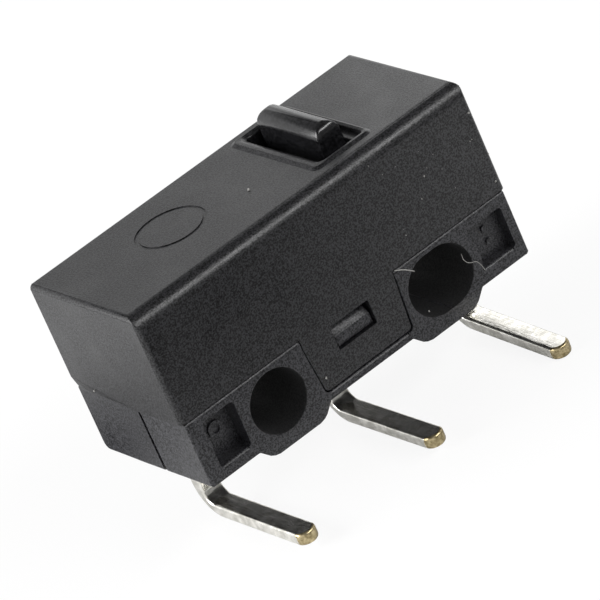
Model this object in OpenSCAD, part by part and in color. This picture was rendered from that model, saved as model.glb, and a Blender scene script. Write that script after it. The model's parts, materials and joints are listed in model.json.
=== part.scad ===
// Subminiature snap-action switch with angled solder terminals.
// The origin is the centre of the round mounting hole: +X runs along the body towards the
// plunger's end, +Z towards the plunger, and the terminals are bent towards -Y.

/* [Body] */
// Length of the cover
body_l = 12.9; // [12.8:0.05:13]
// Width of the base between its front and rear faces
body_w = 5.8; // [5.75:0.05:6]
// Height of the cover's top above the mounting holes
top_z = 5; // [4.95:0.05:5.2]
// Depth of the base's underside below the mounting holes
under_z = 1.05; // [1.05:0.05:1.2]
// Depth of the two bosses' flats below the mounting holes
boss_z = 1.5; // [1.4:0.05:1.6]
// Height of the seam between cover and base above the mounting holes
seam_z = 1.22; // [1.2:0.01:1.25]
// Radius along the cover's front top edge
brow_r = 0.52; // [0.4:0.02:0.8]
// Radius along the edges of the cover's two ends
end_r = 0.18; // [0.08:0.01:0.2]
// Radius along the other moulded edges
edge_r = 0.06; // [0.04:0.01:0.12]

/* [Mounting holes] */
// Distance between the centres of the round hole and the slotted hole
hole_pitch = 6.5; // [6.4:0.05:6.6]
// Diameter of the round hole and width of the slotted hole
hole_d = 2; // [1.9:0.05:2.1]
// How much longer than wide the slotted hole is
slot_extra = 0.4; // [0.2:0.05:0.4]

/* [Cover] */
// Width of the cover between its front and rear faces
cover_w = 5.6; // [5.6:0.05:5.75]
// Thickness of the cover's side walls and snap tabs
wall = 0.48; // [0.4:0.02:0.5]
// Thickness of the cover's roof
roof = 0.55; // [0.5:0.01:0.55]
// Width of a snap tab at its free end
tab_w = 3.4; // [3.2:0.05:3.5]
// Depth of a snap tab's free end below the mounting holes
tab_z = 0.74; // [0.6:0.01:0.8]
// Width of the window in a snap tab
window_w = 1.5; // [1.3:0.05:1.6]
// Height of the raised lip around the plunger's opening
lip_h = 0.07; // [0.05:0.01:0.1]

/* [Plunger] */
// Distance of the plunger from the middle of the body
plunger_x = 2.61; // [2.6:0.01:2.7]
// Width of the plunger's finger, along the body
plunger_w = 0.88; // [0.86:0.02:1]
// Length of the plunger's finger, across the body
plunger_l = 3.2; // [3:0.05:3.2]
// Height of the free plunger above the cover's top
plunger_h = 0.7; // [0.7:0.05:0.8]
// Full travel of the plunger, overtravel included
travel = 0.6; // [0.5:0.05:0.6]

/* [Terminals] */
// Pitch of the three terminals
term_pitch = 5.08; // [5.05:0.01:5.1]
// Offset of the three terminals from the middle of the body
term_shift = -0.04; // [-0.05:0.01:0]
// Width of a terminal leg
term_w = 0.72; // [0.7:0.01:0.8]
// Thickness of the terminals' sheet metal
term_t = 0.42; // [0.38:0.01:0.42]
// Depth of a bent leg's lower face below the mounting holes
leg_z = 3.25; // [3.1:0.05:3.5]
// Distance of the legs' tips from the middle plane
leg_reach = 5.1; // [4.8:0.05:6.4]
// Outer radius of the legs' bend
bend_r = 1.05; // [1:0.05:1.4]
// Inner radius of the legs' bend
bend_in_r = 0.42; // [0.4:0.02:0.6]
// Angle by which the right leg sits lower than the others
nc_lean = 2.6; // [0:0.2:3]

/* [Moving blade] */
// Thickness of the moving blade
blade_t = 0.1; // [0.08:0.01:0.12]
// Height of the moving blade's underside above the mounting holes
blade_z = 3.45; // [3.4:0.01:3.5]
// Distance of the contacts from the middle of the body
contact_x = 4.48; // [4.45:0.01:4.5]
// Diameter of the contacts
contact_d = 0.8; // [0.7:0.05:0.85]
// Gap between parts that touch or slide on each other
slip = 0.02; // [0.01:0.005:0.03]

/* [Hidden] */
$fn = 48;
over = 0.2;

// Body faces, measured from the middle of the body
mid_x = hole_pitch / 2;
front_y = -body_w / 2;
rear_y = body_w / 2;
cover_rear_y = front_y + cover_w;
half_l = body_l / 2;
base_half_l = half_l - 0.1;
base_low_front_r = 0.12;
base_low_rear_r = 0.25;
base_top_front_r = 0.13;
rim_h = 0.75;

// Rear part of both ends: a groove in the base, from where it leans in, and a bevel in the cover
// that deepens to the rear
end_seam_y = front_y + 2.4;
end_tilt = 1.2;
groove_w = 0.13;
groove_depth = 0.25;
bevel_low_z = seam_z + 0.06;
bevel_high_z = seam_z + 0.62;
bevel_out = 0.14;
bevel_angle = 2.1;
nick_z = 2.98;
nick_r = 0.12;
cavity_half_l = half_l - 0.55;
cavity_front_y = front_y + wall;
cavity_rear_y = cover_rear_y - wall;
ceiling_z = top_z - roof;
floor_z = hole_d / 2 + 0.28;

// Hollow in the base, between its rims
rim_wall = 0.35;
hollow_half_l = 5.5;

// Snap tabs and catches
tab_gap = 0.06;
tab_left_gap = 0.015;
tab_low_gap = 0.05;
tab_corner_r = 0.14;
tab_root_w = tab_w + 0.3;
tab_root_z = seam_z - 0.35;
window_low = 0.14;
window_high = 0.96;
catch_w = window_w - 0.12;
catch_out = 0.4;
catch_low_z = 0.17;
catch_front_z = 0.54;
catch_high_z = window_high - 0.04;

// Recesses beside the holes, and the plain marks on their floors
pocket_left_depth = 0.6;
pocket_right_depth = 0.42;
pocket_r = 0.1;
mark_h = 0.07;
ledge_r = 0.14;
pocket_left_z = [-0.64, 0.92];
pocket_right_z = [-0.58, 0.82];
pocket_left_x = [-5.82, -4.62];
pocket_right_x = [4.66, 6.02];
pocket_web = 0.36;
ring_mark_x = -5.22;
ring_mark_z = 0.2;
ring_mark_r = 0.27;
dot_x = 5.45;
dot_z = [-0.12, 0.32];
dot_r = 0.12;

// Ejector witness ring in the cover's top
ring_x = -2.55;
ring_y = 0.4;
ring_r = 1.15;
ring_w = 0.13;
ring_depth = 0.03;

// Plunger opening and plunger
opening_left_x = plunger_x - plunger_w / 2 - 0.47;
opening_right_x = plunger_x + plunger_w / 2 + 0.34;
opening_front_y = front_y + 1.08;
opening_rear_y = cavity_rear_y - 0.07;
lip_left = 0.45;
lip_right = 0.16;
lip_front = 0.36;
lip_rear = 0.3;
lip_r = 0.28;
lip_slope = 0.14;
lip_flare_w = 0.14;
lip_flare_depth = 0.09;
opening_r = 0.13;
ledge_z = top_z - 0.18;
ledge_x = plunger_x + plunger_w / 2 + tab_gap;
plunger_front_y = front_y + 1.62;
plunger_top_z = top_z + plunger_h;
finger_end_r = 0.3;
flange_t = 0.45;
flange_out = 0.25;
flange_low_z = ceiling_z - slip - flange_t;
nose_r = 0.35;
nose_half_w = 1.1;
blade_top_z = blade_z + blade_t;

// Contacts and terminals
stud_h = 0.2;
seat_h = 0.18;
shelf_over = 0.05;
shelf_x = contact_x - contact_d / 2 - shelf_over;
shelf_half_w = 0.7;
nc_post_x = 5.05;
com_post_x = -5.45;
hook_x = -1.75;
leg_root = 0.3;
leg_head = 0.1;
strip_half_w = 1.05;
post_over = 0.45;
tail_half_w = 0.5;
tail_play_w = 0.08;
tail_play_h = 0.05;
tail_over = 0.12;
hook_half_w = 0.75;
hook_top_z = 3.15;
hook_window_half_w = 0.5;
hook_window_z = [2.05, 2.9];
riser_half_w = 0.5;

// Blade: its rails taper towards the contact, and its tongue arches down to the hook
rail_half_w = 1.3;
rail_left_x = -4.5;
rail_right_x = 2.4;
shoulder_x = -4.7;
window_left_x = -4.1;
window_half_w = 0.9;
nose_end_half_w = 0.4;
nose_root_half_w = 0.55;
nose_corner_x = contact_x + 0.1;
nose_end_x = contact_x + 0.45;
tongue_root_x = 0.6;
tongue_tip_x = hook_x + 0.2;
tongue_drop = 1;
tongue_w = 0.8;
// The blade tilts about its tail in the left post; these are its slope at full travel
// and what its contact drops by
pivot_x = com_post_x + term_t / 2;
tilt = travel / (plunger_x - pivot_x);
contact_drop = tilt * (contact_x + contact_d / 2 - pivot_x);
moving_top_z = blade_top_z + stud_h;
nc_seat_z = moving_top_z + slip;
nc_shelf_z = nc_seat_z + seat_h;
moving_low_z = blade_z - stud_h;
no_top_z = moving_low_z - contact_drop - slip;
no_shelf_top_z = no_top_z - seat_h;

module at_middle() {
  translate([mid_x, 0, 0]) children();
}

// A profile drawn in Y and Z, extruded along X about the middle
module along_x(length) {
  rotate([90, 0, 90]) linear_extrude(length, center = true) children();
}

// A profile drawn in X and Z, extruded along Y from one plane to another
module along_y(from_y, to_y) {
  translate([0, to_y, 0]) rotate([90, 0, 0]) linear_extrude(to_y - from_y) children();
}

// A box from its lowest corner to its highest corner
module block(low, high) {
  translate(low) cube(high - low);
}

// What a round of radius r takes off the lowest corner of a rectangle
module corner_waste(r) {
  difference() {
    translate([-over, -over]) square(r + over);
    translate([r, r]) circle(r);
  }
}

// A rectangle from low to high with corner radii in the order of its quadrants:
// low-low, high-low, high-high and low-high
module soft_rect(low, high, radii) {
  difference() {
    translate(low) square(high - low);
    translate(low) corner_waste(radii[0]);
    translate([high[0], low[1]]) mirror([1, 0]) corner_waste(radii[1]);
    translate(high) rotate(180) corner_waste(radii[2]);
    translate([low[0], high[1]]) mirror([0, 1]) corner_waste(radii[3]);
  }
}

// The snap tab's outline, used for the tab and, with clearances, for the base's recess.
// The recess is wider on the right, and most at its lower corner.
module tab_outline(left_gap, right_gap, low_gap) {
  offset(r = tab_corner_r) offset(delta = -tab_corner_r)
    polygon([
      [-tab_root_w / 2 - left_gap, seam_z + 2 * over],
      [-tab_root_w / 2 - left_gap, tab_root_z],
      [-tab_w / 2 - left_gap, -tab_z - low_gap],
      [tab_w / 2 + right_gap, -tab_z - low_gap],
      [tab_root_w / 2 + left_gap, tab_root_z],
      [tab_root_w / 2 + left_gap, seam_z + 2 * over]
    ]);
}

// The boss around a mounting hole, below the base's underside
module boss_outline() {
  boss_h = boss_z - under_z;
  polygon([
    [-1.5, 0.1], [-1.42, 0], [-1.12, -boss_h * 0.72], [-0.98, -boss_h * 0.9], [-0.8, -boss_h],
    [0.8, -boss_h], [0.98, -boss_h * 0.9], [1.12, -boss_h * 0.72], [1.42, 0], [1.5, 0.1]
  ]);
}

// A sloped catch that points towards -Y from a wall at y
module catch_wedge(y) {
  translate([0, y, 0]) along_x(catch_w)
    polygon([
      [over, catch_low_z], [-catch_out, catch_low_z], [-catch_out, catch_front_z],
      [0, catch_high_z], [over, catch_high_z]
    ]);
}

module mounting_holes() {
  along_y(front_y - over, rear_y + over) {
    translate([-hole_pitch / 2, 0]) circle(d = hole_d);
    translate([hole_pitch / 2 - slot_extra / 2, 0]) circle(d = hole_d);
    translate([hole_pitch / 2 + slot_extra / 2, 0]) circle(d = hole_d);
    translate([hole_pitch / 2 - slot_extra / 2, -hole_d / 2]) square([slot_extra, hole_d]);
  }
}

module terminal_slots() {
  for (side = [-1, 0, 1])
    block(
      [term_shift + side * term_pitch - term_w / 2 - slip, -term_t / 2 - slip, -boss_z - over],
      [term_shift + side * term_pitch + term_w / 2 + slip, term_t / 2 + slip, floor_z + over]
    );
}

module base_shell() {
  // lower block with soft edges
  intersection() {
    along_y(front_y, rear_y)
      soft_rect([-base_half_l, -under_z], [base_half_l, seam_z - slip / 2],
        [base_low_front_r, base_low_front_r, edge_r / 4, edge_r / 4]);
    translate([0, 0, -boss_z]) linear_extrude(boss_z + seam_z)
      soft_rect([-base_half_l, front_y], [base_half_l, rear_y],
        [edge_r, edge_r, edge_r, edge_r]);
    along_x(body_l)
      soft_rect([front_y, -under_z], [rear_y, seam_z - slip / 2],
        [edge_r, base_low_rear_r, edge_r, base_top_front_r]);
  }
  // bosses under both holes
  for (side = [-1, 1])
    translate([side * (hole_pitch / 2 - 0.2), 0, -under_z])
      along_y(front_y + 0.05, rear_y - 0.05) boss_outline();
  // rim that plugs into the cover
  block(
    [-cavity_half_l + slip, cavity_front_y + slip, seam_z - 0.3],
    [cavity_half_l - slip, cavity_rear_y - slip, seam_z + rim_h]
  );
}

// Pocket in the front face between two X and two Z, with a rounded upper edge on the strip below it
module pocket(x, z, depth) {
  along_y(front_y - over, front_y + depth)
    soft_rect([x[0], z[0]], [x[1], z[1]], [pocket_r, pocket_r, pocket_r, pocket_r]);
  rounded_ledge(x[0] + pocket_r, x[1] - pocket_r, z[0]);
}

// What rounds the front edge of a ledge that looks up, from one X to another
module rounded_ledge(from_x, to_x, z) {
  translate([(from_x + to_x) / 2, front_y, z])
    along_x(to_x - from_x) mirror([0, 1]) corner_waste(ledge_r);
}

module base_pockets() {
  pocket(pocket_left_x, pocket_left_z, pocket_left_depth);
  difference() {
    pocket(pocket_right_x, pocket_right_z, pocket_right_depth);
    // web that follows the slotted hole
    translate([hole_pitch / 2 + slot_extra / 2, 0, 0])
      along_y(front_y - over, front_y + pocket_right_depth + over) circle(r = hole_d / 2 + pocket_web);
  }
}

// Plain raised marks on the pockets' floors
module pocket_marks() {
  along_y(front_y + pocket_left_depth - mark_h, front_y + pocket_left_depth + mark_h)
    translate([ring_mark_x, ring_mark_z])
      difference() {
        circle(r = ring_mark_r);
        circle(r = ring_mark_r / 2);
      }
  along_y(front_y + pocket_right_depth - mark_h, front_y + pocket_right_depth + mark_h)
    for (z = dot_z)
      translate([dot_x, z]) circle(r = dot_r);
}

module base() {
  color("#2a2a2c")
  at_middle() {
    difference() {
      base_shell();
      mounting_holes();
      terminal_slots();
      base_pockets();
      // hollow above the floor
      block(
        [-hollow_half_l, cavity_front_y + rim_wall, floor_z],
        [hollow_half_l, cavity_rear_y - rim_wall, top_z]
      );
      // recesses for the snap tabs
      along_y(front_y - over, cavity_front_y + tab_gap / 2)
        tab_outline(tab_left_gap, tab_gap, tab_low_gap);
      along_y(cavity_rear_y - tab_gap / 2, rear_y + over)
        tab_outline(tab_left_gap, tab_gap, tab_low_gap);
      rounded_ledge(tab_corner_r - tab_w / 2, tab_w / 2 - tab_corner_r, -tab_z - tab_low_gap);
      // both ends lean in at their rear, from a fine groove onwards
      for (side = [0, 1])
        mirror([side, 0, 0]) {
          translate([base_half_l, end_seam_y, 0]) rotate(end_tilt)
            block([0, 0, -boss_z], [half_l - base_half_l + over, body_w, seam_z]);
          block(
            [base_half_l - groove_depth, end_seam_y, -boss_z],
            [half_l, end_seam_y + groove_w, seam_z]
          );
        }
    }
    pocket_marks();
    catch_wedge(cavity_front_y + tab_gap / 2);
    mirror([0, 1, 0]) catch_wedge(-cavity_rear_y + tab_gap / 2);
  }
}

module cover_shell() {
  intersection() {
    along_x(body_l)
      soft_rect([front_y, -tab_z - over], [cover_rear_y, top_z],
        [edge_r, edge_r, edge_r, brow_r]);
    along_y(front_y, cover_rear_y)
      soft_rect([-half_l, -tab_z - over], [half_l, top_z], [end_r, end_r, end_r, end_r]);
    translate([0, 0, -tab_z - over]) linear_extrude(top_z + tab_z + over)
      soft_rect([-half_l, front_y], [half_l, cover_rear_y], [end_r, end_r, edge_r, edge_r]);
    // everything above the seam, and the two tabs below it
    union() {
      block([-half_l, front_y, seam_z + slip / 2], [half_l, rear_y, top_z]);
      along_y(front_y, rear_y) tab_outline(0, 0, 0);
    }
  }
}

// Raised lip with sloped sides around the opening
module opening_lip() {
  hull() {
    translate([0, 0, top_z - over]) linear_extrude(over) lip_outline(0);
    translate([0, 0, top_z - over]) linear_extrude(lip_h + over) lip_outline(lip_slope);
  }
}

// The lip's outline, drawn in by a distance
module lip_outline(inset) {
  offset(delta = -inset)
    soft_rect(
      [opening_left_x - lip_left, opening_front_y - lip_front],
      [opening_right_x + lip_right, opening_rear_y + lip_rear],
      [lip_r, lip_r, lip_r, lip_r]
    );
}

// What the bevel takes off the right end: nothing at its front, and most at the rear
module end_bevel() {
  translate([half_l, end_seam_y, 0]) rotate(bevel_angle) along_y(0, body_w)
    polygon([
      [0, seam_z - over], [0, bevel_low_z], [bevel_out, bevel_high_z],
      [body_w, bevel_high_z], [body_w, seam_z - over]
    ]);
}

module cover() {
  color("#333336")
  at_middle()
    difference() {
      union() {
        cover_shell();
        opening_lip();
      }
      // inside
      block([-cavity_half_l, cavity_front_y, -boss_z], [cavity_half_l, cavity_rear_y, ceiling_z]);
      // opening for the plunger, with a ledge on its right
      opening(ceiling_z - over, ledge_x);
      opening(ledge_z, opening_right_x);
      opening_flare();
      // windows for the catches
      along_y(front_y - over, rear_y + over)
        soft_rect([-window_w / 2, window_low], [window_w / 2, window_high],
          [edge_r, edge_r, edge_r, edge_r]);
      // bevel above the stepped part of both ends
      for (side = [0, 1])
        mirror([side, 0, 0]) end_bevel();
      // ejector witness, a shallow ring in the top
      translate([ring_x, ring_y, top_z - ring_depth])
        difference() {
          cylinder(r = ring_r, h = over);
          cylinder(r = ring_r - ring_w, h = 3 * over, center = true);
        }
      // gate nick on the rear left edge
      translate([-half_l, cover_rear_y, nick_z]) sphere(r = nick_r);
    }
}

// The plunger's opening from a height upwards, as far right as right_x
module opening(low_z, right_x) {
  translate([0, 0, low_z])
    linear_extrude(top_z - ceiling_z + lip_h + 2 * over) opening_outline(right_x);
}

module opening_outline(right_x) {
  soft_rect([opening_left_x, opening_front_y], [right_x, opening_rear_y],
    [opening_r, opening_r, opening_r, opening_r]);
}

// Flare that softens the lip's inner edge
module opening_flare() {
  hull() {
    translate([0, 0, top_z + lip_h - lip_flare_depth])
      linear_extrude(lip_flare_depth) opening_outline(opening_right_x);
    translate([0, 0, top_z + lip_h])
      linear_extrude(over) offset(delta = lip_flare_w) opening_outline(opening_right_x);
  }
}

module plunger() {
  nose_z = blade_top_z + slip + nose_r;
  color("#202023")
  at_middle() {
    // flange that keeps the plunger in the cover
    block(
      [opening_left_x - flange_out, opening_front_y - flange_out, flange_low_z],
      [opening_right_x + flange_out, cavity_rear_y - tab_gap, ceiling_z - slip]
    );
    translate([plunger_x, 0, 0]) {
      finger();
      // round-ended nose that pushes the blade
      along_y(-nose_half_w, nose_half_w) {
        translate([0, nose_z]) circle(r = nose_r);
        translate([-nose_r, nose_z]) square([2 * nose_r, flange_low_z + slip - nose_z]);
      }
    }
  }
}

// Finger with a round top and softened ends, about its own middle
module finger() {
  finger_rear_y = plunger_front_y + plunger_l;
  crest_z = plunger_top_z - plunger_w / 2;
  intersection() {
    union() {
      block(
        [-plunger_w / 2, plunger_front_y, flange_low_z], [plunger_w / 2, finger_rear_y, crest_z]
      );
      along_y(plunger_front_y, finger_rear_y) translate([0, crest_z]) circle(d = plunger_w);
    }
    along_x(plunger_w)
      soft_rect([plunger_front_y, flange_low_z], [finger_rear_y, plunger_top_z],
        [edge_r, edge_r, finger_end_r, finger_end_r]);
  }
}

// Leg in the middle plane that leaves the underside and bends towards -Y.
// Below the underside it leans by a small angle that lowers its tip.
module leg(top, lean) {
  block([-term_w / 2, -term_t / 2, -under_z - leg_root], [term_w / 2, term_t / 2, top]);
  translate([0, 0, -under_z]) rotate([lean, 0, 0]) translate([0, 0, under_z]) bent_leg();
}

// The bent part of a leg, below the underside, with a round tip
module bent_leg() {
  tip_y = -leg_reach + term_w / 2;
  along_x(term_w)
    difference() {
      // the pair of offsets fills the inner corner with its radius
      offset(r = -bend_in_r) offset(delta = bend_in_r)
        polygon([
          [tip_y, -leg_z], [term_t / 2, -leg_z], [term_t / 2, -under_z],
          [-term_t / 2, -under_z], [-term_t / 2, -leg_z + term_t], [tip_y, -leg_z + term_t]
        ]);
      translate([term_t / 2, -leg_z]) mirror([1, 0]) corner_waste(bend_r);
    }
  translate([0, tip_y, -leg_z]) cylinder(d = term_w, h = term_t);
}

module com_terminal() {
  strip_top = floor_z + slip + term_t;
  color("#c9c9c4")
  at_middle() {
    translate([term_shift - term_pitch, 0, 0]) leg(floor_z + leg_head, 0);
    // strip on the floor
    block(
      [com_post_x, -strip_half_w, floor_z + slip],
      [hook_x + term_t, strip_half_w, strip_top]
    );
    // post that holds the blade's tail in its slot
    difference() {
      block(
        [com_post_x, -strip_half_w, floor_z + slip],
        [com_post_x + term_t, strip_half_w, blade_top_z + post_over]
      );
      block(
        [com_post_x - over, -tail_half_w - tail_play_w, blade_z - tail_play_h],
        [com_post_x + term_t + over, tail_half_w + tail_play_w, blade_top_z + tail_play_h]
      );
    }
    // hook that the tongue's tip pushes against
    difference() {
      block([hook_x, -hook_half_w, floor_z + slip], [hook_x + term_t, hook_half_w, hook_top_z]);
      block(
        [hook_x - over, -hook_window_half_w, hook_window_z[0]],
        [hook_x + term_t + over, hook_window_half_w, hook_window_z[1]]
      );
    }
  }
}

module no_terminal() {
  strip_top = floor_z + slip + term_t;
  color("#c9c9c4")
  at_middle() {
    translate([term_shift, 0, 0]) leg(floor_z + leg_head, 0);
    block([-term_w / 2, -riser_half_w, floor_z + slip], [shelf_x, riser_half_w, strip_top]);
    // riser and shelf under the contact
    block(
      [shelf_x - term_t, -riser_half_w, floor_z + slip],
      [shelf_x, riser_half_w, no_shelf_top_z]
    );
    block(
      [shelf_x - term_t, -shelf_half_w, no_shelf_top_z - term_t],
      [contact_x + contact_d / 2 + shelf_over, shelf_half_w, no_shelf_top_z]
    );
  }
}

module nc_terminal() {
  color("#c9c9c4")
  at_middle() {
    translate([term_shift + term_pitch, 0, 0]) leg(floor_z + term_t, nc_lean);
    // post behind the blade's end
    block(
      [nc_post_x, -shelf_half_w, floor_z + slip],
      [nc_post_x + term_t, shelf_half_w, nc_shelf_z + term_t]
    );
    // shelf over the contact
    block(
      [shelf_x, -shelf_half_w, nc_shelf_z],
      [nc_post_x + term_t, shelf_half_w, nc_shelf_z + term_t]
    );
  }
}

// Spring-metal blade: two rails, a nose for the contact, and a tongue that arches down
module moving_blade() {
  run = tongue_root_x - tongue_tip_x;
  arch_r = (run * run + tongue_drop * tongue_drop) / (2 * tongue_drop);
  color("#b98a4e")
  at_middle() {
    difference() {
      translate([0, 0, blade_z])
        linear_extrude(blade_t)
          polygon([
            [com_post_x - tail_over, -tail_half_w], [shoulder_x, -tail_half_w],
            [rail_left_x, -rail_half_w], [rail_right_x, -rail_half_w],
            [nose_corner_x, -nose_root_half_w], [nose_end_x, -nose_end_half_w],
            [nose_end_x, nose_end_half_w], [nose_corner_x, nose_root_half_w],
            [rail_right_x, rail_half_w], [rail_left_x, rail_half_w],
            [shoulder_x, tail_half_w], [com_post_x - tail_over, tail_half_w]
          ]);
      // window between the rails
      block(
        [window_left_x, -window_half_w, blade_z - over],
        [tongue_root_x, window_half_w, blade_z + over]
      );
      // hole for the contact's shank
      translate([contact_x, 0, blade_z]) cylinder(d = contact_d / 2, h = 3 * over, center = true);
    }
    // tongue
    intersection() {
      translate([tongue_root_x, 0, blade_top_z - arch_r])
        rotate([90, 0, 0])
          difference() {
            cylinder(r = arch_r, h = tongue_w, center = true);
            cylinder(r = arch_r - blade_t, h = tongue_w + over, center = true);
          }
      block(
        [tongue_tip_x, -tongue_w, blade_z - tongue_drop - over],
        [tongue_root_x + slip, tongue_w, top_z]
      );
    }
  }
}

module moving_contact() {
  color("#d9d9d6")
  at_middle()
    translate([contact_x, 0, 0]) {
      translate([0, 0, moving_low_z]) cylinder(d = contact_d, h = stud_h);
      translate([0, 0, blade_top_z]) cylinder(d = contact_d, h = stud_h);
      translate([0, 0, moving_low_z]) cylinder(d = contact_d / 2, h = moving_top_z - moving_low_z);
    }
}

module no_contact() {
  color("#d9d9d6")
  at_middle()
    translate([contact_x, 0, no_shelf_top_z]) cylinder(d = contact_d, h = seat_h);
}

module nc_contact() {
  color("#d9d9d6")
  at_middle()
    translate([contact_x, 0, nc_seat_z]) cylinder(d = contact_d, h = seat_h);
}

base();
cover();
plunger();
com_terminal();
no_terminal();
nc_terminal();
moving_blade();
moving_contact();
no_contact();
nc_contact();
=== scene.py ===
"""A subminiature snap-action switch: finishes, edge rounds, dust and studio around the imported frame.

Lengths are written in millimetres and become metres with MM. The frame's origin is the centre of
the round mounting hole, +X runs towards the plunger's end and +Z towards the plunger. The legs
bend towards -Y, the front, where the switch seats on its board.
"""
import json
import math

import bmesh
import bpy
import numpy as np
from mathutils import Matrix, Vector


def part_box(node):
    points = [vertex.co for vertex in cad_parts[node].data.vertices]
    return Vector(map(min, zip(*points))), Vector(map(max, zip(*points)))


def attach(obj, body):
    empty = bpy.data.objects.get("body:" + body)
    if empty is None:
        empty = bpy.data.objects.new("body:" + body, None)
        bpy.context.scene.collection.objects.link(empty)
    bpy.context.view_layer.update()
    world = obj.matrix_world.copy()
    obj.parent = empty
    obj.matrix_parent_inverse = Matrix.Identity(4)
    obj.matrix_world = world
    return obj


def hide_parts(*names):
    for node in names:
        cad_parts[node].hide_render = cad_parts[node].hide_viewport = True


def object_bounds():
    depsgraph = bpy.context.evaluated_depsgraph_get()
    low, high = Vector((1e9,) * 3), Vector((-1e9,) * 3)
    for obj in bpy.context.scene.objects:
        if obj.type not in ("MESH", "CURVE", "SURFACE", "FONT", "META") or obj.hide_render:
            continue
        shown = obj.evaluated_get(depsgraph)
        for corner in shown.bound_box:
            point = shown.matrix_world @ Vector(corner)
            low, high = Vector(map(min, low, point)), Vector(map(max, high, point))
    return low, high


MM = 0.001
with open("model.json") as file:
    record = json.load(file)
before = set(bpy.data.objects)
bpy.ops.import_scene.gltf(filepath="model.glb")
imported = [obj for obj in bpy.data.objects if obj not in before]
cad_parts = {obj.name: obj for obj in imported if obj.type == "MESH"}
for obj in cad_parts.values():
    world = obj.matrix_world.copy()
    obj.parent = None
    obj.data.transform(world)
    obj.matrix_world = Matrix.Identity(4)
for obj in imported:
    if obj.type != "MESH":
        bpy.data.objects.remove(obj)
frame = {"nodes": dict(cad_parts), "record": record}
cad_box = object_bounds()

# places on the housing, in millimetres: its left end and front face, the roof round the lip, the
# seam between cover and base, and the pitch of the two mounting holes
LEFT, FRONT = (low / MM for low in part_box("cover")[0][:2])
ROOF, SEAM = 5.0, 1.22
HOLE_PITCH = next(m["pos_m"][0] for m in frame["record"]["mounts"] if m["name"] == "slotted_hole") / MM

# ---------------------------------------------------------------- camera
# a long lens from the front left and above, rolled so that the body climbs to the right
AIM = Vector((3.48, 0.14, 0.615)) * MM
CAMERA_DISTANCE = 208.3 * MM
AZIMUTH, ELEVATION, ROLL = (math.radians(a) for a in (26.41, 26.28, 24.01))
LENS, SENSOR = 420.75, 36.0
NEAREST_SEEN, FARTHEST_SEEN = 5 * MM, 10.0


def add_camera():
    """Camera at AIM minus CAMERA_DISTANCE times its forward direction, rolled about that direction."""
    forward = Vector((
        math.cos(ELEVATION) * math.sin(AZIMUTH),
        math.cos(ELEVATION) * math.cos(AZIMUTH),
        -math.sin(ELEVATION),
    ))
    level_right = forward.cross(Vector((0, 0, 1))).normalized()
    level_up = level_right.cross(forward)
    up = math.cos(ROLL) * level_up + math.sin(ROLL) * level_right
    right = forward.cross(up)
    data = bpy.data.cameras.new("camera")
    data.lens, data.sensor_width = LENS, SENSOR
    data.clip_start, data.clip_end = NEAREST_SEEN, FARTHEST_SEEN
    camera = bpy.data.objects.new("camera", data)
    turn = Matrix((right, up, -forward)).transposed().to_4x4()
    camera.matrix_world = Matrix.Translation(AIM - CAMERA_DISTANCE * forward) @ turn
    bpy.context.scene.collection.objects.link(camera)
    bpy.context.scene.camera = camera


add_camera()


# ---------------------------------------------------------------- material helpers
# a Mix node's sockets share their names, so they go by index: what it mixes, then its results
NUMBER_A, NUMBER_B, COLOUR_A, COLOUR_B = 2, 3, 6, 7
MIXED_NUMBER, MIXED_COLOUR = 0, 2


def linear(hex_colour):
    """sRGB hex colour to linear RGBA."""
    values = [int(hex_colour[i:i + 2], 16) / 255 for i in (1, 3, 5)]
    return [v / 12.92 if v <= 0.04045 else ((v + 0.055) / 1.055) ** 2.4 for v in values] + [1]


def add(tree, kind, settings=None, links=None):
    """Adds one node; settings are attributes or sockets' values, links join other nodes' sockets to it."""
    made = tree.nodes.new(kind)
    for key, value in (settings or {}).items():
        if isinstance(key, str) and hasattr(made, key) and key not in made.inputs:
            setattr(made, key, value)
        else:
            made.inputs[key].default_value = value
    for key, socket in (links or {}).items():
        tree.links.new(socket, made.inputs[key])
    return made


def new_material(name):
    """An empty material with a Principled shader wired to its output: (material, tree, shader)."""
    material = bpy.data.materials.new(name)
    material.use_nodes = True
    tree = material.node_tree
    tree.nodes.clear()
    shader = add(tree, "ShaderNodeBsdfPrincipled")
    add(tree, "ShaderNodeOutputMaterial", None, {"Surface": shader.outputs["BSDF"]})
    return material, tree, shader


def grain(tree, where, size_mm, detail=2.0, crispness=0.6, low=0.38, high=0.62):
    """Noise whose lumps are size_mm across, stretched so that low..high fills 0..1; returns its socket."""
    noise = add(tree, "ShaderNodeTexNoise",
                {"Scale": 1 / (size_mm * MM), "Detail": detail, "Roughness": crispness}, {"Vector": where})
    stretched = add(tree, "ShaderNodeMapRange", {"From Min": low, "From Max": high}, {0: noise.outputs[0]})
    return stretched.outputs[0]


def finish_surface(tree, shader, colour, rough, height, strength, depth):
    """Wires colour, roughness and height to the shader; the height's bumps are depth millimetres deep."""
    bump = add(tree, "ShaderNodeBump", {"Strength": strength, "Distance": depth * MM}, {"Height": height})
    tree.links.new(colour, shader.inputs["Base Color"])
    tree.links.new(rough, shader.inputs["Roughness"])
    tree.links.new(bump.outputs["Normal"], shader.inputs["Normal"])


# ---------------------------------------------------------------- moulded plastics
# size of the slow gloss mottling in millimetres, and how much of the grit shows in the gloss
FLOW_MM, GRIT_IN_GLOSS = 1.6, 0.7
# strength of the grit's bump, and the refraction of both plastics
GRIT_STRENGTH, PLASTIC_IOR = 0.5, 1.5
# x, z and radius of the round hole and of the two ends of the slotted hole, which is longer by SLOT_HALF
# each way
HOLE_RADIUS, SLOT_HALF = 1, 0.2
BORES = [(x, 0, HOLE_RADIUS) for x in (0, HOLE_PITCH - SLOT_HALF, HOLE_PITCH + SLOT_HALF)]
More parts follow.
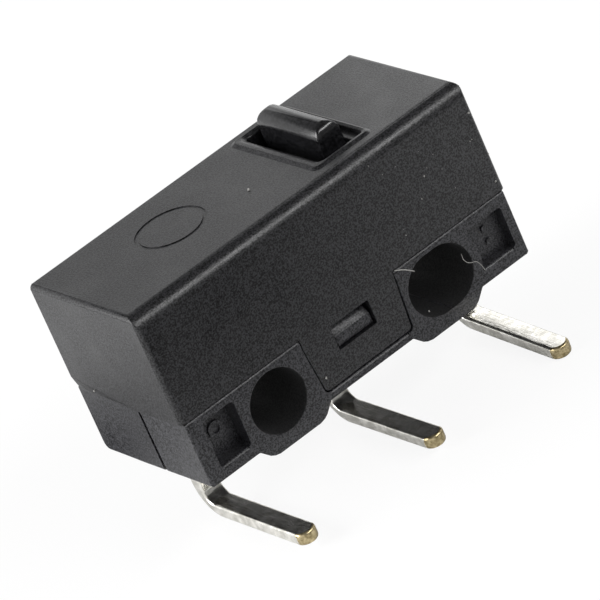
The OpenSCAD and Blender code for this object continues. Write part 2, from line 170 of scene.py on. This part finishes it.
# how far past a bore's wall its finish reaches, and that finish: a darker colour that is painted shade, and a
# higher roughness
BORE_SLACK, BORE_SHADE_COLOUR, BORE_ROUGHNESS = 0.015, "#131314", 0.75


def inside_bores(tree, where, bores):
    """1 on the walls of bores along Y, each given as (x, z, radius) in millimetres, and 0 elsewhere.

    A point is on a wall when its distance from the bore's axis, with Y left out, is under the radius.
    """
    flat = add(tree, "ShaderNodeVectorMath", {"operation": "MULTIPLY", 1: (1, 0, 1)}, {0: where}).outputs[0]
    covered = None
    for x, z, radius in bores:
        away = add(tree, "ShaderNodeVectorMath", {"operation": "DISTANCE", 1: (x * MM, 0, z * MM)}, {0: flat})
        inside = add(tree, "ShaderNodeMath", {"operation": "LESS_THAN", 1: (radius + BORE_SLACK) * MM},
                     {0: away.outputs["Value"]}).outputs[0]
        if covered:
            inside = add(tree, "ShaderNodeMath", {"operation": "MAXIMUM"}, {0: covered, 1: inside}).outputs[0]
        covered = inside
    return covered


def moulded_plastic(name, colours, roughness, shine, grit_mm, grit_depth, bores=()):
    """Black engineering plastic out of a spark-eroded mould.

    The eye gets a fine pale grit from the etched mould, a slow mottling in gloss where the melt
    flowed, and bores that are duller than the faces, because core pins aren't polished, and darker with
    painted shade.
    colours and shine, the specular level, go from the grit's pits to its peaks. roughness goes
    from where grit and mottling are both low to where they are high.
    """
    material, tree, shader = new_material(name)
    where = add(tree, "ShaderNodeTexCoord").outputs["Object"]
    grit = grain(tree, where, grit_mm)
    mottle = grain(tree, where, FLOW_MM, 4.0)
    pit, peak = (linear(tone) for tone in colours)
    colour = add(tree, "ShaderNodeMix", {"data_type": "RGBA", COLOUR_A: pit, COLOUR_B: peak},
                 {0: grit}).outputs[MIXED_COLOUR]
    gloss = add(tree, "ShaderNodeMath", {"operation": "MULTIPLY_ADD", 1: GRIT_IN_GLOSS}, {0: grit, 2: mottle})
    rough = add(tree, "ShaderNodeMix", {"data_type": "FLOAT", NUMBER_A: roughness[0], NUMBER_B: roughness[1]},
                {0: gloss.outputs[0]}).outputs[MIXED_NUMBER]
    if bores:
        covered = inside_bores(tree, where, bores)
        # painted shade: the bores' walls take a darker colour
        colour = add(tree, "ShaderNodeMix", {"data_type": "RGBA", COLOUR_B: linear(BORE_SHADE_COLOUR)},
                     {0: covered, COLOUR_A: colour}).outputs[MIXED_COLOUR]
        rough = add(tree, "ShaderNodeMix", {"data_type": "FLOAT", NUMBER_B: BORE_ROUGHNESS},
                    {0: covered, NUMBER_A: rough}).outputs[MIXED_NUMBER]
    level = add(tree, "ShaderNodeMix", {"data_type": "FLOAT", NUMBER_A: shine[0], NUMBER_B: shine[1]},
                {0: grit}).outputs[MIXED_NUMBER]
    tree.links.new(level, shader.inputs["Specular IOR Level"])
    finish_surface(tree, shader, colour, rough, grit, GRIT_STRENGTH, grit_depth)
    shader.inputs["IOR"].default_value = PLASTIC_IOR
    return material


# polyester with glass, for both halves of the housing: black, with a satin sheen. The etched grit is
# finer than 0.055 mm, and is drawn at that size to show. The cover is the glossier moulding
cover_plastic = moulded_plastic("black_polyester_cover", ("#020202", "#252528"), (0.28, 0.38), (0.35, 0.65),
                                0.055, 0.0025)
base_plastic = moulded_plastic("black_polyester_base", ("#070708", "#333337"), (0.32, 0.42), (0.35, 0.65),
                               0.055, 0.0025, BORES)
# acetal, out of a polished mould so that it slides: smooth, with clear highlights
plunger_plastic = moulded_plastic("black_acetal", ("#0b0b0c", "#1e1e20"), (0.14, 0.20), (0.46, 0.54),
                                  0.09, 0.001)


# ---------------------------------------------------------------- metals
# size of the stains, depth of the streaks, and the range of the noise that makes a streak
STAIN_MM, STREAK_DEPTH, STREAK_STRENGTH = 0.35, 0.002, 0.4
STREAK_LOW, STREAK_HIGH = 0.35, 0.65
# the sheared tips: how ragged the border is, the normal's Y below which a face counts as facing the
# front, the size of the torn grain in millimetres, and the roughness
CUT_RAGGED, CUT_FACING, CUT_GRAIN_MM, CUT_ROUGHNESS = 0.15, -0.06, 0.12, 0.3


def sheared(tree, where, stain, reach):
    """1 on the faces that look forwards beyond Y = reach, and 0 elsewhere.

    A face counts when its normal's Y plus a share of the stains is below a limit, so that the
    stains make the border ragged.
    """
    normal = add(tree, "ShaderNodeTexCoord").outputs["Normal"]
    facing = add(tree, "ShaderNodeSeparateXYZ", None, {0: normal}).outputs["Y"]
    ragged = add(tree, "ShaderNodeMath", {"operation": "MULTIPLY_ADD", 1: CUT_RAGGED}, {0: stain, 2: facing})
    forwards = add(tree, "ShaderNodeMath", {"operation": "LESS_THAN", 1: CUT_FACING}, {0: ragged.outputs[0]})
    along = add(tree, "ShaderNodeSeparateXYZ", None, {0: where}).outputs["Y"]
    beyond = add(tree, "ShaderNodeMath", {"operation": "LESS_THAN", 1: reach * MM}, {0: along})
    return add(tree, "ShaderNodeMath", {"operation": "MULTIPLY"},
               {0: forwards.outputs[0], 1: beyond.outputs[0]}).outputs[0]


def worked_metal(name, colours, roughness, streak, cut=None):
    """Strip metal: fine streaks along the way it was rolled and drawn, and cloudy stains over them.

    streak is (x, y, z) lengths of one streak in millimetres: the noise is read at the place divided
    by them. colours go from clear to stained, roughness from a streak's bottom to its top. cut is
    (y, colour, colour): the faces that look forwards beyond that y were sheared after plating, and
    show the bare alloy.
    """
    material, tree, shader = new_material(name)
    where = add(tree, "ShaderNodeTexCoord").outputs["Object"]
    lengths = [length * MM for length in streak]
    drawn = add(tree, "ShaderNodeVectorMath", {"operation": "DIVIDE", 1: lengths}, {0: where})
    noise = add(tree, "ShaderNodeTexNoise", {"Scale": 1.0, "Detail": 3.0}, {"Vector": drawn.outputs[0]})
    lines = add(tree, "ShaderNodeMapRange", {"From Min": STREAK_LOW, "From Max": STREAK_HIGH},
                {0: noise.outputs[0]}).outputs[0]
    stain = grain(tree, where, STAIN_MM, 3.0)
    clear, stained = (linear(tone) for tone in colours)
    colour = add(tree, "ShaderNodeMix", {"data_type": "RGBA", COLOUR_A: clear, COLOUR_B: stained},
                 {0: stain}).outputs[MIXED_COLOUR]
    rough = add(tree, "ShaderNodeMix", {"data_type": "FLOAT", NUMBER_A: roughness[0], NUMBER_B: roughness[1]},
                {0: lines}).outputs[MIXED_NUMBER]
    if cut:
        reach, hollow, burr = cut
        bare = sheared(tree, where, stain, reach)
        ripple = grain(tree, where, CUT_GRAIN_MM, 3.0)
        torn = add(tree, "ShaderNodeMix",
                   {"data_type": "RGBA", COLOUR_A: linear(hollow), COLOUR_B: linear(burr)},
                   {0: ripple}).outputs[MIXED_COLOUR]
        colour = add(tree, "ShaderNodeMix", {"data_type": "RGBA"},
                     {0: bare, COLOUR_A: colour, COLOUR_B: torn}).outputs[MIXED_COLOUR]
        rough = add(tree, "ShaderNodeMix", {"data_type": "FLOAT", NUMBER_B: CUT_ROUGHNESS},
                    {0: bare, NUMBER_A: rough}).outputs[MIXED_NUMBER]
    finish_surface(tree, shader, colour, rough, lines, STREAK_STRENGTH, STREAK_DEPTH)
    shader.inputs["Metallic"].default_value = 1
    return material


# brass strip under bright silver plating: a bright mirror, a little warm, with fine streaks along the
# legs and the brass bare at the cut tips
terminal_metal = worked_metal("silver_plated_brass", ("#c9c7bf", "#f0eee8"), (0.12, 0.26), (0.05, 0.6, 0.6),
                              (-4.7, "#8a7d5c", "#c2b38e"))
# phosphor bronze, rolled thin: reddish and satin, with long streaks along the blade
blade_metal = worked_metal("spring_bronze", ("#b5835a", "#c8976c"), (0.24, 0.34), (0.8, 0.05, 0.8))
# silver alloy of the contact studs, cold-headed: white, fine-grained and satin
contact_metal = worked_metal("silver_alloy", ("#c9c9c7", "#dcdcda"), (0.26, 0.36), (0.06, 0.06, 0.06))


# ---------------------------------------------------------------- the switch's own pieces
FINISHES = {
    "base": base_plastic, "cover": cover_plastic, "plunger": plunger_plastic,
    "com_terminal": terminal_metal, "no_terminal": terminal_metal, "nc_terminal": terminal_metal,
    "moving_blade": blade_metal, "moving_contact": contact_metal,
    "no_contact": contact_metal, "nc_contact": contact_metal,
}
# the one rounded piece that isn't part of the housing's body
BODIES = {"plunger": "button"}
# widths of the edge rounds; the terminals have the rolled-over edge of a punched strip
ROUND = {"base": 0.04, "cover": 0.035, "plunger": 0.08, "com_terminal": 0.1, "no_terminal": 0.1,
         "nc_terminal": 0.1}
# height below which a piece is hidden and keeps its edges
HIDDEN_BELOW = {"plunger": 4.6}
# half the height of the band at the seam where edges stay tight
SEAM_BAND = 0.03
# area in square millimetres of a face too small to take a round, and how close points are merged
TINY_FACE, MERGE = 0.006, 0.002
# how far two faces turn at their edge: past SHARP an outer edge gets a round, past CREASE any other
# edge stays crisp, past CORNER an edge that the rounds left stays crisp, and under FLAT it goes
SHARP, CREASE, CORNER, FLAT = (math.radians(a) for a in (32, 19, 50, 0.5))
# steps of a round's arc, the profile that makes it a circle's, and the pull of large faces on shading
ARC_STEPS, CIRCULAR, LARGE_FACES = 3, 0.5, 100


def merged_faces(shape):
    """Turns the loose triangles of a shape into a closed surface whose flat areas are single faces."""
    bmesh.ops.remove_doubles(shape, verts=shape.verts, dist=MERGE * MM)
    bmesh.ops.dissolve_degenerate(shape, dist=MERGE * MM, edges=shape.edges)
    bmesh.ops.dissolve_limit(shape, angle_limit=FLAT, verts=shape.verts, edges=shape.edges)
    for face in shape.faces:
        face.smooth = True


def round_edges(node, width):
    """The node's own solid with its outer edges rounded, as a mould or a press leaves them.

    Every outer edge that turns by more than SHARP gets an arc of the given width in millimetres.
    Inner corners and slighter creases stay crisp. The seam between the two housing halves stays
    tight, and faces smaller than TINY_FACE keep their edges.
    """
    shape = bmesh.new()
    shape.from_mesh(frame["nodes"][node].data)
    merged_faces(shape)
    outer_edges = []
    for edge in shape.edges:
        at_seam = all(abs(vert.co.z - SEAM * MM) < SEAM_BAND * MM for vert in edge.verts)
        tiny = min(face.calc_area() for face in edge.link_faces) < TINY_FACE * MM ** 2
        hidden = max(vert.co.z for vert in edge.verts) < HIDDEN_BELOW.get(node, -math.inf) * MM
        if edge.calc_face_angle() > SHARP and edge.is_convex and not (at_seam or tiny or hidden):
            outer_edges.append(edge)
        elif edge.calc_face_angle() > CREASE:
            edge.smooth = False
    bmesh.ops.bevel(shape, geom=outer_edges, offset=width * MM, offset_type="OFFSET", segments=ARC_STEPS,
                    profile=CIRCULAR, affect="EDGES", miter_outer="ARC", clamp_overlap=False)
    for edge in shape.edges:
        if edge.is_manifold and edge.calc_face_angle() > CORNER:
            edge.smooth = False
    mesh = bpy.data.meshes.new(node + "_rounded")
    shape.to_mesh(mesh)
    shape.free()
    mesh.materials.clear()
    mesh.materials.append(FINISHES[node])
    piece = bpy.data.objects.new(node + "_rounded", mesh)
    bpy.context.scene.collection.objects.link(piece)
    normals = piece.modifiers.new("normals", "WEIGHTED_NORMAL")
    normals.keep_sharp, normals.weight = True, LARGE_FACES
    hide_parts(node)
    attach(piece, BODIES.get(node, "housing"))


for name, finish in FINISHES.items():
    if name in ROUND:
        round_edges(name, ROUND[name])
    else:
        for slot in frame["nodes"][name].material_slots:
            slot.material = finish


# ---------------------------------------------------------------- dust
# lint's fuzz: its size and depth in millimetres, its strength, and its look from dull to pale
FUZZ_MM, FUZZ_DEPTH, FUZZ_STRENGTH = 0.02, 0.002, 0.4
LINT_COLOURS, LINT_ROUGHNESS = ("#7d7c79", "#b4b3af"), (0.8, 0.95)


def lint(name):
    """Pale household lint: matte, a little uneven in tone, with a furry bump."""
    material, tree, shader = new_material(name)
    where = add(tree, "ShaderNodeTexCoord").outputs["Object"]
    fuzz = grain(tree, where, FUZZ_MM)
    dull, pale = (linear(tone) for tone in LINT_COLOURS)
    colour = add(tree, "ShaderNodeMix", {"data_type": "RGBA", COLOUR_A: dull, COLOUR_B: pale}, {0: fuzz})
    rough = add(tree, "ShaderNodeMix",
                {"data_type": "FLOAT", NUMBER_A: LINT_ROUGHNESS[0], NUMBER_B: LINT_ROUGHNESS[1]}, {0: fuzz})
    finish_surface(tree, shader, colour.outputs[MIXED_COLOUR], rough.outputs[MIXED_NUMBER], fuzz,
                   FUZZ_STRENGTH, FUZZ_DEPTH)
    return material


def as_piece(name, points, faces, material):
    """A smooth piece of the housing's body, from points in millimetres."""
    mesh = bpy.data.meshes.new(name)
    mesh.from_pydata((points * MM).tolist(), [], faces)
    mesh.polygons.foreach_set("use_smooth", [True] * len(faces))
    mesh.materials.append(material)
    piece = bpy.data.objects.new(name, mesh)
    bpy.context.scene.collection.objects.link(piece)
    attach(piece, "housing")


def closed_rings(rings, sides, first=0):
    """Faces of a stack of rings of points: quads from each ring to the next, and a cap on both ends.

    The points are numbered ring by ring from first. The faces point outwards if the rings turn
    anticlockwise, seen from beyond the first end.
    """
    ring, side = np.meshgrid(np.arange(rings - 1) * sides, np.arange(sides), indexing="ij")
    beside = (side + 1) % sides
    quads = np.stack([ring + side, ring + sides + side, ring + sides + beside, ring + beside], axis=-1)
    end = np.arange(sides)
    caps = np.stack([end, (rings - 1) * sides + end[::-1]])
    return (first + quads.reshape(-1, 4)).tolist() + (first + caps).tolist()


def dust_specks(name, specks, material, rings=6, sides=8, lumpiness=0.33, pole=0.02):
    """Lumps of lint: x, y, z and diameter in millimetres each.

    Each is a ball of rings of points, at angles from pole to half a turn less pole from the top,
    and every point's radius is half the diameter times 1 plus or minus up to the lumpiness.
    """
    dice = np.random.default_rng(5)
    tilts, turns = np.linspace(pole, math.pi - pole, rings), np.arange(sides) * 2 * math.pi / sides
    tilt, turn = np.meshgrid(tilts, turns, indexing="ij")
    ball = np.stack([np.sin(tilt) * np.cos(turn), np.sin(tilt) * np.sin(turn), np.cos(tilt)], axis=-1)
    ball = ball.reshape(-1, 3)
    specks = np.array(specks)[:, None]
    wobble = 1 + dice.uniform(-lumpiness, lumpiness, (len(specks), len(ball), 1))
    points = specks[..., :3] + ball * wobble * specks[..., 3:] / 2
    faces = sum((closed_rings(rings, sides, k * len(ball)) for k in range(len(specks))), [])
    as_piece(name, points.reshape(-1, 3), faces, material)


def strand(name, path, radius, material, sides=6, steps=8):
    """A fibre on the front: a tube round a smooth line through points of (x, z, height off the front).

    The line is a Catmull-Rom spline in steps between points, with the first and last stretch
    carried on straight. A ring of the given radius stands square to the line at each of its points.
    """
    x, z, lift = np.array(path).T
    path = np.stack([x, FRONT - lift, z], axis=-1)
    padded = np.vstack([2 * path[0] - path[1], path, 2 * path[-1] - path[-2]])
    a, b, c, d = (padded[k:len(path) - 1 + k, None] for k in range(4))
    t = (np.arange(steps) / steps)[:, None]
    line = 0.5 * (2 * b + (c - a) * t + (2 * a - 5 * b + 4 * c - d) * t ** 2
                  + (3 * b - a - 3 * c + d) * t ** 3)
    line = np.vstack([line.reshape(-1, 3), path[-1]])
    along = np.gradient(line, axis=0)
    along /= np.linalg.norm(along, axis=1, keepdims=True)
    side = np.cross(along, (0.0, 1.0, 0.0))
    side /= np.linalg.norm(side, axis=1, keepdims=True)
    up = np.cross(side, along)
    turn = (np.arange(sides) * 2 * math.pi / sides)[:, None]
    rings = line[:, None] + radius * (np.cos(turn) * side[:, None] + np.sin(turn) * up[:, None])
    as_piece(name, rings.reshape(-1, 3), closed_rings(len(line), sides), material)


grey_lint = lint("grey_lint")
# specks that stand out, on the roof, the left end and the front, and one low in the slotted hole
SPECKS = [(3.05, -0.6, ROOF + 0.01, 0.09), (LEFT - 0.01, 1.54, 1.49, 0.06), (9.55, FRONT, 3.99, 0.07),
          (9.61, FRONT, 2.49, 0.06), (9.48, FRONT, 1.6, 0.07), (7.35, FRONT, 3.17, 0.06),
          (6.02, -2.3, -0.95, 0.07), (1.71, FRONT, -0.33, 0.08)]
# a sprinkling of fine ones over the right of the front: how many, then the ranges of x, z and size
FINE_SPECKS, FINE_X, FINE_Z, FINE_SIZE = 14, (5.5, 9.5), (1.5, 4.6), (0.02, 0.04)
dice = np.random.default_rng(11)
scattered = [dice.uniform(*reach, FINE_SPECKS) for reach in (FINE_X, FINE_Z, FINE_SIZE)]
SPECKS += [(x, FRONT, z, size) for x, z, size in zip(*scattered)]
dust_specks("dust", SPECKS, grey_lint)
# a lint fibre over the rim of the slotted hole, and a whisker of moulding flash at the seam's corner, drawn
# in the pale lint as a painted highlight along it
strand("lint_fibre", [(7.45, 0.32, 0.02), (7.44, 0.11, 0.03), (7.57, -0.08, 0.03), (7.84, -0.23, 0.02),
                      (7.99, -0.63, 0.01)], 0.010, grey_lint)
strand("flash_whisker_highlight", [(5.2, 1.2, 0), (5.49, 1.04, 0.01), (5.79, 0.79, 0)], 0.018, grey_lint)


# ---------------------------------------------------------------- studio
# the floor lies just below the lowest leg, and reaches this far each way
FLOOR_Z, FLOOR_REACH = cad_box[0][2] - 0.02 * MM, 150 * MM
# painted shade on the floor, seen only in reflections and bounced light: a soft dark patch ahead of the
# switch and a painted shadow of the switch behind its left end, each x, y, radius of the dark middle, radius
# where it ends; and the tone in the middle
PAINTED_SHADE_AHEAD, PAINTED_SHADOW_BEHIND, PAINTED_SHADE_TONE = (3.5, -20, 5, 13), (-4.5, 8, 1, 5.5), 0.05
# the floor's own tone, and the painted shade it fades to from one Y to the other ahead of the switch
FLOOR_TONE, AHEAD_SHADE_TONE, AHEAD_FROM, AHEAD_TO = 0.95, 0.25, -20, -40
# how much of what the camera sees of the floor is plain white; the rest keeps the shadow
WHITENESS = 0.88


def painted_floor_shade(tree, where, x, y, inner, outer):
    """Painted shade on the floor round (x, y): the middle's tone inside the inner radius, rising smoothly to
    1 at the outer.
    """
    centre = (x * MM, y * MM, FLOOR_Z)
    away = add(tree, "ShaderNodeVectorMath", {"operation": "DISTANCE", 1: centre}, {0: where})
    return add(tree, "ShaderNodeMapRange",
               {"interpolation_type": "SMOOTHSTEP", "From Min": inner * MM, "From Max": outer * MM,
                "To Min": PAINTED_SHADE_TONE, "To Max": 1.0}, {0: away.outputs["Value"]}).outputs[0]


def add_floor():
    """Pale floor just under the lowest leg. The camera sees it nearly white, with a faint shadow.

    Two soft patches of painted shade, a dark one in front of the switch and a painted shadow of the switch
    behind its left end, and a painted darkening further ahead are what the black faces mirror.
    """
    corners = [(x * FLOOR_REACH, y * FLOOR_REACH, FLOOR_Z) for x, y in ((-1, -1), (1, -1), (1, 1), (-1, 1))]
    mesh = bpy.data.meshes.new("floor")
    mesh.from_pydata(corners, [], [(0, 1, 2, 3)])
    floor = bpy.data.objects.new("floor", mesh)
    bpy.context.scene.collection.objects.link(floor)
    material = bpy.data.materials.new("pale_floor")
    material.use_nodes = True
    tree = material.node_tree
    tree.nodes.clear()
    where = add(tree, "ShaderNodeTexCoord").outputs["Object"]
    # painted shade ahead of the switch, and the switch's painted shadow behind its left end
    front = painted_floor_shade(tree, where, *PAINTED_SHADE_AHEAD)
    behind = painted_floor_shade(tree, where, *PAINTED_SHADOW_BEHIND)
    depth = add(tree, "ShaderNodeSeparateXYZ", None, {0: where}).outputs["Y"]
    # painted darkening of the floor further ahead
    ahead = add(tree, "ShaderNodeMapRange",
                {"interpolation_type": "SMOOTHSTEP", "From Min": AHEAD_TO * MM, "From Max": AHEAD_FROM * MM,
                 "To Min": AHEAD_SHADE_TONE, "To Max": 1.0}, {0: depth}).outputs[0]
    patches = add(tree, "ShaderNodeMath", {"operation": "MULTIPLY"}, {0: front, 1: behind}).outputs[0]
    share = add(tree, "ShaderNodeMath", {"operation": "MULTIPLY"}, {0: patches, 1: ahead}).outputs[0]
    pale = add(tree, "ShaderNodeMath", {"operation": "MULTIPLY", 1: FLOOR_TONE}, {0: share}).outputs[0]
    seen = add(tree, "ShaderNodeLightPath").outputs["Is Camera Ray"]
    shade = add(tree, "ShaderNodeMath", {"operation": "MAXIMUM"}, {0: pale, 1: seen}).outputs[0]
    diffuse = add(tree, "ShaderNodeBsdfDiffuse", None, {"Color": shade}).outputs[0]
    glow = add(tree, "ShaderNodeEmission", {"Color": (1, 1, 1, 1), "Strength": 1.0}).outputs[0]
    whitened = add(tree, "ShaderNodeMath", {"operation": "MULTIPLY", 1: WHITENESS}, {0: seen}).outputs[0]
    mix = add(tree, "ShaderNodeMixShader", None, {0: whitened, 1: diffuse, 2: glow})
    add(tree, "ShaderNodeOutputMaterial", None, {"Surface": mix.outputs[0]})
    mesh.materials.append(material)


def add_softbox(name, direction, distance, width, height, power):
    """An area light that shines at AIM from a direction; lengths are in millimetres, power in watts."""
    data = bpy.data.lights.new(name, "AREA")
    data.shape = "RECTANGLE"
    data.size, data.size_y, data.energy = width * MM, height * MM, power
    light = bpy.data.objects.new(name, data)
    towards = Vector(direction).normalized()
    light.location = AIM + towards * distance * MM
    light.rotation_euler = towards.to_track_quat("Z", "Y").to_euler()
    bpy.context.scene.collection.objects.link(light)


# the room's brightness is 1 up to a ray's Z of SKY_FROM, and falls to SKY_TONE at SKY_TO
SKY_FROM, SKY_TO, SKY_TONE = 0.44, 0.62, 0.16
# it is dim in front of the switch and to the right: by how well a ray lines up with that direction
DIM_SIDE, DIM_FROM, DIM_TO, DIM_TONE = (0.45, -0.89, 0), 0.3, 0.75, 0.3


def add_world():
    """Plain white for the camera, and for light and reflections a room that is bright round the horizon."""
    world = bpy.data.worlds.new("surroundings")
    bpy.context.scene.world = world
    world.use_nodes = True
    tree = world.node_tree
    tree.nodes.clear()
    seen = add(tree, "ShaderNodeLightPath").outputs["Is Camera Ray"]
    direction = add(tree, "ShaderNodeTexCoord").outputs["Generated"]
    height = add(tree, "ShaderNodeSeparateXYZ", None, {0: direction}).outputs["Z"]
    sky = add(tree, "ShaderNodeMapRange",
              {"interpolation_type": "SMOOTHSTEP", "From Min": SKY_FROM, "From Max": SKY_TO,
               "To Min": 1.0, "To Max": SKY_TONE}, {0: height}).outputs[0]
    facing = add(tree, "ShaderNodeVectorMath", {"operation": "DOT_PRODUCT", 1: DIM_SIDE}, {0: direction})
    dim = add(tree, "ShaderNodeMapRange",
              {"interpolation_type": "SMOOTHSTEP", "From Min": DIM_FROM, "From Max": DIM_TO,
               "To Min": 1.0, "To Max": DIM_TONE}, {0: facing.outputs["Value"]}).outputs[0]
    level = add(tree, "ShaderNodeMath", {"operation": "MULTIPLY"}, {0: sky, 1: dim}).outputs[0]
    room = add(tree, "ShaderNodeBackground", {"Color": (1, 1, 1, 1)}, {"Strength": level}).outputs[0]
    white = add(tree, "ShaderNodeBackground", {"Color": (1, 1, 1, 1), "Strength": 1.0}).outputs[0]
    mix = add(tree, "ShaderNodeMixShader", None, {0: seen, 1: room, 2: white})
    add(tree, "ShaderNodeOutputWorld", None, {"Surface": mix.outputs[0]})


add_floor()
add_softbox("key", (0.399, -0.66, 0.636), 300, 300, 50, 0.55)
add_softbox("back_left", (-0.85, 0.35, 0.4), 300, 200, 200, 1.1)
add_softbox("back_right", (0.65, 0.62, 0.44), 65, 30, 30, 0.0029)
add_world()
bpy.context.scene.view_settings.view_transform = "Standard"
